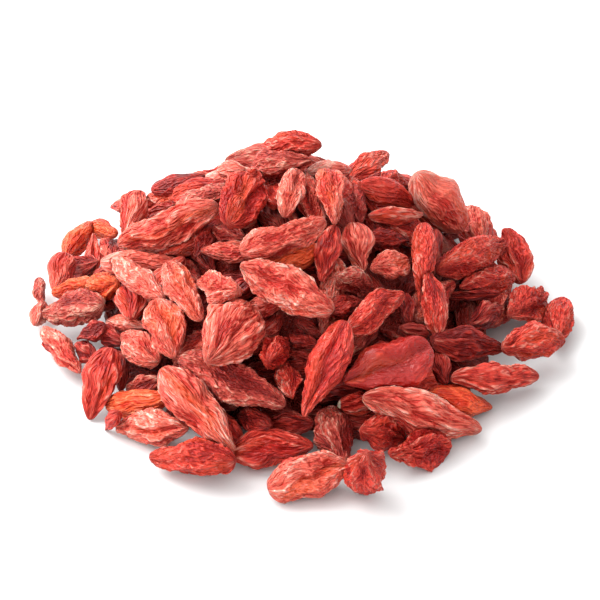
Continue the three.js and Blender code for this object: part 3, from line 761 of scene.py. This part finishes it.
def shrivel(berry, around, share, shape):
    """How the radius changes over the skin, and what the skin is like there."""
    skin, choose = SKINS[berry["dried"]], np.random.default_rng(berry["seed"])
    half = berry["width"] / 2
    place = np.stack([np.cos(around) * half, np.sin(around) * half, share * berry["length"]], -1)
    place = place + choose.uniform(0, FIELD_REACH, 3)
    hollow = fallen_in(berry, place, around, share, shape, choose)

    along_less = np.array([1, 1, skin["stretch"]])
    wander = np.stack([noise(place * WANDER_SCALE + shift) for shift in WANDER_SHIFTS], -1)
    warped = (place + skin["sway"] * wander) * along_less
    close = warped / skin["apart"]
    facets, crease = rims(warped / skin["wide"]), rims(close + CREASE_SHIFT, CREASE_EDGE)
    groove = np.clip(0.35 * rims(close + GROOVE_SHIFT) + 0.8 * ridged(close + LINE_SHIFT), 0, 1)
    fine = ridged(warped * FINE_CLOSER / skin["apart"] + FINE_SHIFT)
    dents = noise(place * DENT_SCALE + DENT_SHIFT)

    ends = np.clip(np.minimum(share, 1 - share) / PLAIN_END, LEAST_AT_END, 1)
    height = -skin["depth"] * half * hollow
    height = height + skin["dents"] * half * np.minimum(0, dents * DENT_SHARPNESS)
    sunk = skin["facet"] * (facets - 1) + skin["crease"] * (crease - 1) + FINE_DEPTH * (fine - 1)
    sunk = sunk - skin["groove"] * groove
    height = height + ends * sunk * min(DEEPEST, berry["width"] / TYPICAL_WIDTH)
    raised = skin["crease"] * crease**1.5 + skin["groove"] * (0.75 - groove)
    ridge = np.clip(2.2 * raised + 0.25 * facets + 0.2 * fine - 0.2 * hollow, 0, 1)
    return height, ridge, hollow, place * along_less


print("the closest creases are", min(skin["apart"] for skin in SKINS.values()), "mm apart")

# %% The grid of a berry
SURFACE_STEP, HIDDEN_STEP, INNER_STEP = 0.215, 0.6, 0.9
FEWEST_ROWS, FEWEST_COLUMNS, WIDTHS_AROUND = 10, 12, 2.9
EVENLY, TOWARDS_ENDS = 0.55, 0.45
RIDGE_REACH, MOST_REACH = 1.19, 1.32
TAPER, POINTED, WAIST, WAIST_SCALE, SIDEWAYS, SCAR_SIZE = 0.3, 1.08, 0.16, 2.4, 0.07, 0.07
ENDS_FILL, WAIST_REACH, WAIST_SEEDS, TAPER_SEEDS = 1.3, 17, 40, 41
SWAY_CLOSER, SWAY_SHIFT = 1.2, 3.3


def grid_of(berry):
    """Shares of the length, closer together at the ends, and angles round the berry."""
    step = SURFACE_STEP if berry["on_face"] else HIDDEN_STEP if berry["seed"] < INNER_SEEDS else INNER_STEP
    rows = max(FEWEST_ROWS, round(berry["length"] / step))
    columns = max(FEWEST_COLUMNS, round(WIDTHS_AROUND * berry["width"] / step))
    even = np.linspace(0, 1, rows + 1)
    share = (EVENLY * even + TOWARDS_ENDS * (1 - np.cos(np.pi * even)) / 2)[:, None]
    around = np.linspace(0, 2 * np.pi, columns, endpoint=False)[None]
    return np.broadcast_arrays(share, around)


def berry_grid(berry):
    """The berry's skin as a grid of points: rows from the stem to the tip, columns round it."""
    share, around = grid_of(berry)
    shape = shape_draws(berry)
    height, ridge, hollow, skin = shrivel(berry, around, share, shape)
    lobes = 1 + shape["two"] * np.cos(2 * around + shape["two_phase"] + shape["twist"] * share)
    lobes += shape["three"] * np.cos(3 * around + shape["three_phase"] + shape["twist"] * share)
    full, half, along_only = girth(share), berry["width"] / 2, np.zeros_like(skin)
    along_only[..., 2] = share * WAIST_SCALE + WAIST_REACH * next(draws(berry["seed"] + WAIST_SEEDS))
    taper = TAPER * (2 * next(draws(berry["seed"] + TAPER_SEEDS)) - 1)
    waist = 1 + WAIST * noise(along_only) + taper * (2 * share - 1)
    pointed = full**POINTED
    radius = half * pointed * lobes * RIDGE_REACH * waist + height * np.minimum(1, full * ENDS_FILL)
    radius = np.clip(radius, 0, half * full * lobes * MOST_REACH)
    radius[[0, -1]] = 0

    along, up, side = axes_of(berry, shape["roll"])
    lift = np.sin(around) * radius * shape["flatness"] + bow_at(share, shape)
    points = middle_of(berry) + along * ((share - 0.5) * berry["length"])[..., None]
    sway = SIDEWAYS * berry["width"] * noise(along_only * SWAY_CLOSER + SWAY_SHIFT) * full * 2
    points = points + side * (np.cos(around) * radius + sway)[..., None] + up * lift[..., None]
    gloss = np.full(share.shape, GLOSS.get(berry["dried"], 0.0))
    scar = np.clip(1 - share / SCAR_SIZE, 0, 1) * berry["scar"]
    return points, dict(ridge=ridge, hollow=hollow, scar=scar, gloss=gloss, skin=skin)


# %% Shape every berry
def triangles_of(berry):
    return 2 * (berry["points"].shape[0] - 1) * berry["points"].shape[1]


for berry in berries:
    berry["length"] = float(np.linalg.norm(berry["tip"] - berry["stem"]))
    berry["points"], berry["marks"] = berry_grid(berry)
print("triangles in all:", sum(triangles_of(b) for b in berries))

# %% [markdown]
# ## Pressed together
#
# Where two berries would share a place, the one that lies nearer the camera keeps its form and presses a
# hollow into the other, as it was done on the solids. The other's skin is moved towards its own axis until
# it is clear.

# %% Press hollows where berries touch
CLEARANCE, PRESSING_SHARE, LEAST_GAIN, MOST_PRESSED = 0.12, 0.97, 0.35, 0.8
INSIDE_SOLIDS = 0.05


def press(berry, other, shape):
    """Moves the skin of one berry out of another."""
    along, up, side = axes_of(other, shape["roll"])
    points = berry["points"]
    from_middle = points - middle_of(other)
    share = from_middle @ along / other["length"] + 0.5
    across, lifted = from_middle @ side, (from_middle @ up - bow_at(share, shape)) / shape["flatness"]
    out = np.hypot(across, lifted)
    radius = other["width"] / 2 * girth(share) * PRESSING_SHARE + CLEARANCE
    depth = np.where((share > 0) & (share < 1), np.maximum(0, radius - out), 0)
    if not depth.any():
        return
    own_along = (berry["tip"] - berry["stem"]) / berry["length"]
    inward = middle_of(berry) - points
    own_share = -(inward @ own_along)
    inward = inward + own_along * own_share[..., None]
    reach = np.linalg.norm(inward, axis=-1)
    out_of_other = side * across[..., None] + up * lifted[..., None]
    out_of_other = out_of_other / np.maximum(out, 1e-6)[..., None]
    gain = np.clip((inward * out_of_other).sum(-1) / np.maximum(reach, 1e-6), LEAST_GAIN, 1)
    move = np.minimum(depth / gain, reach * MOST_PRESSED)
    berry["points"] = points + inward * (move / np.maximum(reach, 1e-6))[..., None]


reach_of_solids = np.array(cad_box) * 1000 + [[INSIDE_SOLIDS] * 3, [-INSIDE_SOLIDS] * 3]
order = sorted(berries, key=lambda b: (not b["on_face"], middle_of(b) @ forward))
shapes = [shape_draws(b) for b in order]
pressed = 0
for later, berry in enumerate(order):
    for earlier in range(later):
        other = order[earlier]
        if np.linalg.norm(middle_of(berry) - middle_of(other)) < (berry["length"] + other["length"]) / 2:
            press(berry, other, shapes[earlier])
            pressed += 1
    berry["points"] = np.clip(berry["points"], *reach_of_solids)
print("pairs of neighbours:", pressed)

# %% [markdown]
# ## Meshes with marks on the skin
#
# Each berry's grid becomes quads, closed by a fan at either end. The marks go along as attributes of the
# mesh: where the skin is raised or hollow, how glossy it is, how deep it lies in the heap for the painted
# shade, and a place on the skin for the finer texture. They belong to the mesh, so the finish stays on the
# berry from any side.

# %% One mesh from several berries
MM = 0.001


def closed_grid(rows, columns, first):
    """Faces of a grid that is closed round. Each end row is one point, where a fan closes it."""
    ring = first + 1 + np.arange((rows - 2) * columns).reshape(rows - 2, columns)
    after = np.roll(ring, -1, axis=1)
    quads = np.stack([ring[:-1], after[:-1], after[1:], ring[1:]], -1).reshape(-1, 4)
    start = np.stack([np.full(columns, first), after[0], ring[0]], -1)
    end = np.stack([np.full(columns, first + 1 + ring.size), ring[-1], after[-1]], -1)
    return quads, np.vstack([start, end])


def flat(grid):
    """A grid's values with each end, where a whole row meets, taken once."""
    values = grid.reshape(*grid.shape[:2], -1)
    return np.vstack([values[0, :1], values[1:-1].reshape(-1, values.shape[-1]), values[-1, :1]])


# Painted shade deep in the heap: it starts and deepens below the skin, and ends and fades towards the rim,
# in millimetres
SHADE_STARTS, SHADE_DEEPENS, SHADE_ENDS, SHADE_FADES = 1.5, 6, 46, 8


def painted_shade_depth(points):
    """The painted shade: 0 on the outer berries, and 1 where hardly any light comes down between them."""
    x, y, z = points.T
    depth = np.clip((skin_height(x, y) - z - SHADE_STARTS) / SHADE_DEEPENS, 0, 1)
    return depth * np.clip((SHADE_ENDS - distance_out(x, y)) / SHADE_FADES, 0, 1)


VARIETY_SEEDS = 500


def variety_of(berry):
    """A number of its own for each berry, which moves its colour. Higher is paler."""
    return next(draws(berry["seed"] + VARIETY_SEEDS)) + PALER.get(berry["tone"] + berry["dried"], 0)


def mesh_of(name, group):
    """One mesh of several berries, with their marks."""
    points = [flat(berry["points"]) * MM for berry in group]
    firsts = np.cumsum([0, *map(len, points)])
    faces = [closed_grid(*berry["points"].shape[:2], first) for berry, first in zip(group, firsts)]
    quads, fans = (np.vstack(part).tolist() for part in zip(*faces))
    marks = {mark: np.vstack([flat(b["marks"][mark]) for b in group]) for mark in group[0]["marks"]}
    marks["variety"] = np.vstack([np.full((len(own), 1), variety_of(b)) for own, b in zip(points, group)])
    points = np.vstack(points)
    # How deep each point lies in the heap, which paints shade where little light reaches
    marks["deep"] = painted_shade_depth(points / MM)[:, None]

    mesh = bpy.data.meshes.new(name)
    mesh.from_pydata(points.tolist(), [], quads + fans)
    mesh.shade_smooth()
    for mark, values in marks.items():
        is_vector = values.shape[1] == 3
        layer = mesh.attributes.new(mark, "FLOAT_VECTOR" if is_vector else "FLOAT", "POINT")
        layer.data.foreach_set("vector" if is_vector else "value", values.astype(np.float32).ravel())
    return mesh


# %% [markdown]
# ## Shader sums
#
# A node tree for a skin is mostly arithmetic. A small class lets sockets be added and multiplied like
# numbers, so that a material reads as the sum that it is.

# %% Sockets that can be reckoned with
class Value:
    """An output socket of a shader tree."""

    def __init__(self, shader, socket):
        self.shader, self.socket = shader, socket

    def math(self, operation, *others):
        return self.shader.node("Math", [self, *others], operation=operation)

    def __add__(self, other):
        return self.math("ADD", other)

    def __sub__(self, other):
        return self.math("SUBTRACT", other)

    def __rsub__(self, other):
        return self.shader.node("Math", [other, self], operation="SUBTRACT")

    def __mul__(self, other):
        return self.math("MULTIPLY", other)

    __radd__, __rmul__ = __add__, __mul__

    def between(self, low, high):
        """0 below low, 1 above high, and smooth between them."""
        return self.shader.node("MapRange", [self, low, high, 0, 1], interpolation_type="SMOOTHSTEP")


class Shader:
    """The node tree of a material or of the world, built by one method."""

    def __init__(self, owner):
        self.owner = owner
        owner.use_nodes = True
        self.tree = owner.node_tree
        self.tree.nodes.clear()

    def node(self, kind, inputs=(), output=0, **settings):
        """Adds a node, sets it up, feeds its inputs by place or by name, and gives back one output."""
        made = self.tree.nodes.new("ShaderNode" + kind)
        for name, value in settings.items():
            setattr(made, name, value)
        named = inputs if isinstance(inputs, dict) else dict(enumerate(inputs))
        for key, value in named.items():
            if isinstance(value, Value):
                self.tree.links.new(value.socket, made.inputs[key])
            else:
                made.inputs[key].default_value = value
        return Value(self, made.outputs[output]) if made.outputs else None

    def mark(self, name, output="Fac"):
        return self.node("Attribute", attribute_name=name, output=output)

    def mix(self, share, one, two):
        """A colour between two colours."""
        one, two = [(*c, 1) if isinstance(c, tuple) else c for c in (one, two)]
        return self.node("Mix", {0: share, 6: one, 7: two}, output=2, data_type="RGBA")


# %% [markdown]
# ## The skins
#
# The hollows show the deep red flesh through a thin, slightly glossy skin, and their darkness is partly
# painted shade. On the ridges the skin is dry, rough and much paler, as the sugar bloom sits there, and
# partly as a painted highlight. The colour could be painted by hand. Here it follows from the marks, so
# that it fits the folds of every berry. The finest creases are too small for the mesh, so they are a bump,
# and the same height paints them. Every berry also gets its own small shift in colour. Painted shade
# darkens the berries deep in the heap and the cups of glossy berries, and some patches get a painted glow,
# as if light shone through the orange flesh.

# %% The tones
# The colours of the hollows, of the skin between, and of the ridges
TONE_ROWS = {
    "r": ["red", (0.36, 0.010, 0.007), (0.61, 0.042, 0.024), (0.82, 0.27, 0.20)],
    "p": ["bloomed", (0.50, 0.026, 0.017), (0.77, 0.125, 0.083), (0.90, 0.43, 0.34)],
    "d": ["dark", (0.18, 0.004, 0.003), (0.37, 0.019, 0.011), (0.54, 0.14, 0.10)],
    "o": ["orange", (0.60, 0.030, 0.007), (0.85, 0.105, 0.030), (0.92, 0.31, 0.17)],
    "b": ["brown", (0.25, 0.011, 0.008), (0.46, 0.053, 0.035), (0.66, 0.29, 0.21)],
}
TONES = {
    letter: dict(zip(("word", "hollow", "middle", "ridge"), row), slot="skin_" + row[0])
    for letter, row in TONE_ROWS.items()
}
# How much painted glow, as of light shining through the orange flesh, each tone gets where it has one
PAINTED_GLOW = {"red": 0.2, "bloomed": 0.3, "orange": 0.6}
PAINTED_GLOW_COLOUR = (0.86, 0.13, 0.012)
STEM_COLOUR = (0.88, 0.74, 0.55)
# Painted shade: its colour, and how much of it falls deep in the heap and in the cups of glossy berries
PAINTED_SHADE_COLOUR = (0.10, 0.008, 0.005)
PAINTED_SHADE_IN_HEAP, PAINTED_SHADE_IN_CUP = 0.4, 0.45
print("tones:", [tone["word"] for tone in TONES.values()])

# %% The skin's material
# Scales are in cells a millimetre, and the depth of the bump is in metres.
WARP_SCALE, WARP = 0.5, 0.7
NET_SCALE, NET_EDGE = 1.15, 0.24
FINE_SCALE, FINE_SHARPNESS = 1.7, 7.0
PATCH_SCALE, BUMP_DEPTH = 0.22, 0.0009
# How far the skin must be raised to turn from its hollow to its middle tone, and on to its ridge tone
TO_MIDDLE, TO_RIDGE = (0.14, 0.46), (0.52, 1.0)
# Where the glow of light through the flesh is painted: in some patches, and not on the ridges
PAINTED_GLOW_PATCHES, PAINTED_GLOW_ENDS = (0.5, 0.72), (0.4, 0.7)
SCAR_EDGE, GLOSSY = (0.2, 0.6), (0.5, 1.0)


def skin_material(tone):
    shader = Shader(bpy.data.materials.new(tone["word"] + "_skin"))
    skin = shader.mark("skin", "Vector")
    ridge, hollow = shader.mark("ridge"), shader.mark("hollow")
    gloss, variety = shader.mark("gloss"), shader.mark("variety")

    def cells(scale, detail=1.0, output="Fac"):
        inputs = {"Vector": skin, "Scale": scale, "Detail": detail, "Roughness": 0.5}
        return shader.node("TexNoise", inputs, output=output)

    wander = cells(WARP_SCALE, output="Color")
    warped = shader.node("VectorMath", [wander, (WARP, WARP, WARP), skin], operation="MULTIPLY_ADD")
    at_net = {"Vector": warped, "Scale": NET_SCALE}
    edge = shader.node("TexVoronoi", at_net, output="Distance", feature="DISTANCE_TO_EDGE")
    net = 1 - edge.between(0.0, NET_EDGE)
    fine = (1 - (cells(FINE_SCALE) - 0.5).math("ABSOLUTE") * FINE_SHARPNESS).math("MAXIMUM", 0.0)
    height = (net * 0.6 + (1 - fine) * 0.4) * (1 - gloss * 0.8)
    patches = cells(PATCH_SCALE, 2.0)

    # Paler on ridges and darker in hollows: bloom and flesh, partly painted highlight and painted shade
    raised = ridge * 0.62 + height * 0.38 + (0.4 - hollow) * 0.35
    raised = raised + (patches - 0.5) * 0.5 + (variety - 0.5) * 0.2
    colour = shader.mix(raised.between(*TO_MIDDLE), tone["hollow"], tone["middle"])
    colour = shader.mix(raised.between(*TO_RIDGE), colour, tone["ridge"])
    # A painted glow: orange flesh, lit as if light shone through the thin skin
    glow = patches.between(*PAINTED_GLOW_PATCHES) * (1 - raised.between(*PAINTED_GLOW_ENDS)) * PAINTED_GLOW.get(tone["word"], 0.0)
    colour = shader.mix(glow, colour, PAINTED_GLOW_COLOUR)
    colour = shader.mix(shader.mark("scar").between(*SCAR_EDGE), colour, STEM_COLOUR)
    # Painted shade, deep in the heap and in the hollow of a glossy cup
    shade = shader.mark("deep") * PAINTED_SHADE_IN_HEAP + gloss.between(*GLOSSY) * hollow * PAINTED_SHADE_IN_CUP
    colour = shader.mix(shade, colour, PAINTED_SHADE_COLOUR)

    bump = shader.node("Bump", {"Strength": 1.0, "Distance": BUMP_DEPTH, "Height": height})
    surface = shader.node("BsdfPrincipled", {
        "Base Color": colour, "Roughness": 0.4 + 0.24 * raised - 0.16 * gloss, "Normal": bump,
        "IOR": 1.45, "Specular IOR Level": 0.32,
        "Coat Weight": gloss * 0.35, "Coat Roughness": 0.1, "Coat IOR": 1.35,
        "Subsurface Weight": 0.2, "Subsurface Scale": 0.0008, "Subsurface Radius": (1.0, 0.25, 0.12),
    })
    shader.node("OutputMaterial", {"Surface": surface})
    return shader.owner


for tone in TONES.values():
    tone["material"] = skin_material(tone)
print("skins:", [tone["material"].name for tone in TONES.values()])

# %% [markdown]
# ## The pieces
#
# An object for each berry would be slow to handle, so berries with the same finish make one piece, and
# where these are too many for one mesh, two. A piece stands for the solids of its own berries, and for the
# bed where it holds some of that.

# %% A piece of the model
def add_object(name, data):
    made = bpy.data.objects.new(name, data)
    bpy.context.scene.collection.objects.link(made)
    return made


def place_piece(name, group, tone):
    piece = add_object(name, mesh_of(name, group))
    piece.data.materials.append(tone["material"])
    nodes = {berry.get("node", "bed") for berry in group}
    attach(piece, "root")
    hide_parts(*sorted(nodes))
    triangles = sum(len(p.vertices) - 2 for p in piece.data.polygons)
    print(f"{name}: {len(group)} berries, {triangles} triangles")


# %% The core, a low lumpy body under the inner berries
CORE_TURNS, CORE_RINGS, CORE_REACH, CORE_TAPER = 72, 26, 32, 7
CORE_UNDER_SKIN, CORE_LUMPS, CORE_LOWEST, CORE_BASE = 8, 0.6, 0.3, 0.06
CORE_LUMP_SCALE, CORE_SEED, CORE_MARK = 0.3, 9000, 0.2


def core_grid():
    """Rings from the top outwards, then one at the table and its middle, which close the core."""
    around = np.linspace(0, 2 * np.pi, CORE_TURNS, endpoint=False)[None]
    out = np.concatenate([np.linspace(0, CORE_REACH, CORE_RINGS), [CORE_REACH, 0]])[:, None]
    out, around = np.broadcast_arrays(out, around)
    x, y = HEAP_MIDDLE[0] + out * np.cos(around), HEAP_MIDDLE[1] + out * np.sin(around)
    height = (skin_height(x, y) - CORE_UNDER_SKIN) * np.clip((CORE_REACH - out) / CORE_TAPER, 0, 1)
    height = height + CORE_LUMPS * noise(np.stack([x, y, 0 * x], -1) * CORE_LUMP_SCALE)
    on_top = np.arange(len(out))[:, None] < CORE_RINGS
    height = np.where(on_top, np.maximum(CORE_LOWEST, height), CORE_BASE)
    height[0] = height[0].mean()
    return np.stack([x, y, height], -1)


def core_as_berry():
    points = core_grid()
    plain = np.full(points.shape[:2], CORE_MARK)
    marks = dict(ridge=plain, hollow=plain, scar=0 * plain, gloss=0 * plain, skin=points)
    return dict(points=points, marks=marks, seed=CORE_SEED, tone="d", dried="n")


print("the core is", round(core_grid()[..., 2].max(), 1), "mm high")

# %% Build the pieces
MOST_TRIANGLES = 200_000


def halves(group):
    """The left and the right part of a group, with about as many triangles in each."""
    ordered = sorted(group, key=lambda b: middle_of(b)[0])
    counts = np.cumsum([triangles_of(b) for b in ordered])
    cut = int(np.searchsorted(counts, counts[-1] / 2))
    return dict(left=ordered[:cut], right=ordered[cut:])


for letter, tone in TONES.items():
    name = tone["word"] + "_berries"
    group = [b for b in berries if b["tone"] == letter and b["seed"] < INNER_SEEDS]
    if sum(triangles_of(b) for b in group) < MOST_TRIANGLES:
        place_piece(name, group, tone)
    else:
        for side, part in halves(group).items():
            place_piece(f"{name}_{side}", part, tone)
# The inner berries and the core take the dark tone as painted shade, since little light reaches them
place_piece("inner_berries", [*inner, core_as_berry()], TONES["d"])

# %% [markdown]
# ## Floor, light and camera
#
# The photograph is a packshot: a white floor lit so brightly that it has no edge, and soft light from all
# round, more of it from the left. A room that is brighter on its left gives that. One large lamp high up on
# the left and a little behind adds the soft shadow, which falls to the right and to the front.

# %% Floor
FLOOR_HALF = 1.6
FLOOR_WHITE = (0.66, 0.66, 0.66, 1)

corners = [(x * FLOOR_HALF, y * FLOOR_HALF, 0) for x, y in ((-1, -1), (1, -1), (1, 1), (-1, 1))]
floor_mesh = bpy.data.meshes.new("floor")
floor_mesh.from_pydata(corners, [], [(0, 1, 2, 3)])
floor = add_object("floor", floor_mesh)
paper = Shader(bpy.data.materials.new("white_floor"))
white = paper.node("BsdfPrincipled", {"Base Color": FLOOR_WHITE, "Roughness": 0.8})
paper.node("OutputMaterial", {"Surface": white})
floor_mesh.materials.append(paper.owner)
floor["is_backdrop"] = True
print("the floor is", 2 * FLOOR_HALF, "m wide")


# %% Lights
def area_light(name, place, target, size, power):
    lamp = bpy.data.lights.new(name, "AREA")
    lamp.shape, lamp.size, lamp.energy = "DISK", size, power
    holder = add_object(name, lamp)
    holder.location = place
    holder.rotation_euler = (Vector(target) - Vector(place)).to_track_quat("-Z", "Y").to_euler()


area_light("key_light", place=(-0.45, 0.22, 0.5), target=(0, 0, 0.01), size=0.7, power=7)

# Seen from the heap, x runs from -1 on the room's left to 1 on its right.
ROOM_LIGHT, MORE_ON_THE_LEFT = 1.78, 1.3
room = Shader(bpy.data.worlds.new("white_room"))
to_the_right = room.node("SeparateXYZ", [room.node("TexCoord", output="Generated")])
strength = ROOM_LIGHT - MORE_ON_THE_LEFT * to_the_right
room.node("OutputWorld", [room.node("Background", {"Color": (1, 1, 1, 1), "Strength": strength})])
bpy.context.scene.world = room.owner
bpy.context.scene.view_settings.view_transform = "Standard"
print("room light from", ROOM_LIGHT + MORE_ON_THE_LEFT, "to", round(ROOM_LIGHT - MORE_ON_THE_LEFT, 2))

# %% Camera
camera = add_object("camera", bpy.data.cameras.new("camera"))
camera.location = Vector(eye) * MM
camera.rotation_euler = Vector(forward).to_track_quat("-Z", "Y").to_euler()
camera.data.sensor_fit = "HORIZONTAL"
camera.data.angle = 2 * math.atan(VIEW_SIZE / 2 / focal_pixels)
camera.data.clip_start, camera.data.clip_end = 0.01, 10
bpy.context.scene.camera = camera
print("field of view", round(math.degrees(camera.data.angle), 2), "degrees")

# %% [markdown]
# ## The size, before and after
#
# The dressed heap has to fill the box of the solids. Both boxes are printed.

# %% Print the sizes
dressed_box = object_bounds()
sizes = {"cad": [list(corner) for corner in cad_box], "dressed": [list(corner) for corner in dressed_box]}
for name, box in sizes.items():
    print(name, [[round(x * 1000, 2) for x in corner] for corner in box], "mm")
